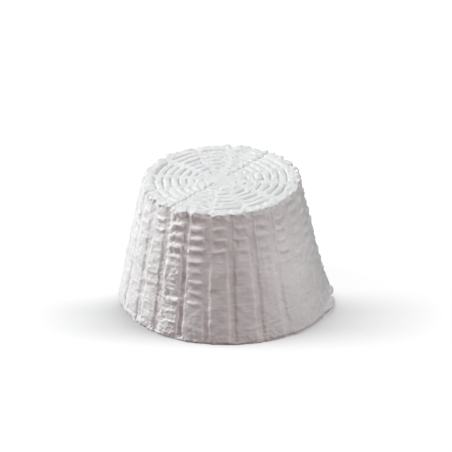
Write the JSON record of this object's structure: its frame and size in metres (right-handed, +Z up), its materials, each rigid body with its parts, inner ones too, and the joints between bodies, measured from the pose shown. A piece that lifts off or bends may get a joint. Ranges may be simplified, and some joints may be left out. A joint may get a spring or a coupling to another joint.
{
  "type": "turned-out ricotta",
  "caption": "Fresh white ricotta turned out of its draining basket: a tapered round cheese on its wide end, marked with upright grooves, rows of low ridges and a ribbed, spoked top.",
  "frame": {"origin": "on the table, at the middle of the outline seen from above", "axes": "+Z up, from the wide foot to the narrow top; -Y towards the viewer of the picture, +X to the viewer's right"},
  "size_m": [0.1156, 0.1136, 0.0695],
  "materials": {
    "cheese": "moist matte white curd, finely grained"
  },
  "bodies": {
    "root": {"ricotta": "cheese"}
  },
  "joints": []
}
